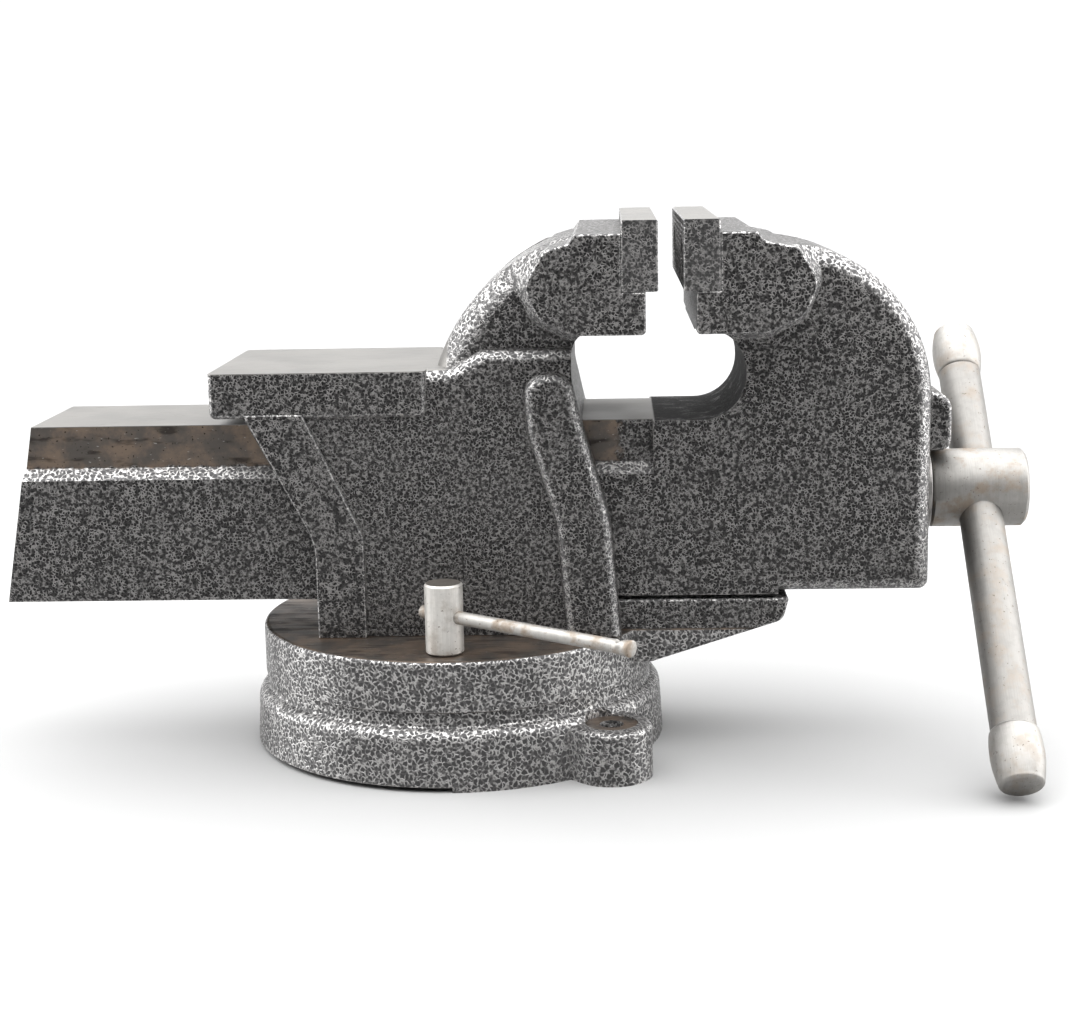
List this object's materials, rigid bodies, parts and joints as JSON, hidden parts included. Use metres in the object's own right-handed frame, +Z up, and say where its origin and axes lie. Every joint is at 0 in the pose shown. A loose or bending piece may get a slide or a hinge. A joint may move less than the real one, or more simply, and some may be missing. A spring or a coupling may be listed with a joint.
{
  "type": "bench vise",
  "caption": "Swivel-base bench vise with an anvil, a sliding beam under the jaws, steel jaw plates, a cross-handle screw and lever locks.",
  "frame": {"origin": "on the swivel axis, at the bench face of the base's feet", "axes": "+X along the slide towards the screw head and handle, +Y across the jaws, +Z up"},
  "size_m": [0.4798, 0.2814, 0.2491],
  "materials": {
    "hammertone_paint": "silver-vein hammertone over dark grey, bare ground tops",
    "jaw_plate": "hammertone with a bare ground top and a serrated face",
    "satin_steel": "satin zinc-plated",
    "hardware_steel": "plain steel",
    "nut_iron": "bare cast iron"
  },
  "bodies": {
    "base": {"swivel_base": "hammertone_paint"},
    "body": {"vise_body": "hammertone_paint", "jaw_plate_fixed": "jaw_plate", "jaw_screws_fixed": "hardware_steel", "spindle_nut": "nut_iron", "nut_bolts": "hardware_steel", "pivot_bolt": "hardware_steel", "pivot_washer": "hardware_steel", "t_bolt_near": "hardware_steel", "t_bolt_far": "hardware_steel"},
    "jaw": {"moving_jaw": "hammertone_paint", "jaw_plate_moving": "jaw_plate", "jaw_screws_moving": "hardware_steel", "thrust_washer": "hardware_steel"},
    "screw": {"lead_screw": "satin_steel", "retaining_collar": "hardware_steel", "collar_pin": "hardware_steel"},
    "handle": {"handle_bar": "satin_steel", "handle_knob_lower": "satin_steel", "handle_knob_upper": "satin_steel"},
    "lock_near": {"lock_nut_near": "satin_steel"},
    "lock_near_bar": {"lock_bar_near": "satin_steel"},
    "lock_far": {"lock_nut_far": "satin_steel"},
    "lock_far_bar": {"lock_bar_far": "satin_steel"}
  },
  "joints": [
    {"name": "swivel", "type": "hinge", "parent": "base", "child": "body", "pos_m": [0, 0, 0.0352], "axis": [0, 0, 1], "continuous": true},
    {"name": "jaw_slide", "type": "slide", "parent": "body", "child": "jaw", "axis": [1, 0, 0], "range_m": [-0.0107, 0.139]},
    {"name": "screw_turn", "type": "hinge", "parent": "jaw", "child": "screw", "pos_m": [0.2498, 0, 0.1168], "axis": [1, 0, 0], "range_deg": [-775, 10015]},
    {"name": "handle_slide", "type": "slide", "parent": "screw", "child": "handle", "axis": [0, -0.7314, -0.682], "range_m": [-0.114, 0.051]},
    {"name": "lock_near_turn", "type": "hinge", "parent": "body", "child": "lock_near", "pos_m": [0, -0.0775, 0.075], "axis": [0, 0, 1], "range_deg": [-120, 25]},
    {"name": "lock_near_slide", "type": "slide", "parent": "lock_near", "child": "lock_near_bar", "axis": [0.809, -0.5878, 0], "range_m": [-0.02, 0.003]},
    {"name": "lock_far_turn", "type": "hinge", "parent": "body", "child": "lock_far", "pos_m": [0, 0.0775, 0.075], "axis": [0, 0, 1], "range_deg": [-25, 120]},
    {"name": "lock_far_slide", "type": "slide", "parent": "lock_far", "child": "lock_far_bar", "axis": [0.809, 0.5878, 0], "range_m": [-0.02, 0.003]}
  ],
  "couplings": [
    {"joint": "screw_turn", "follows": "jaw_slide", "rad_per_m": 1256.6}
  ]
}
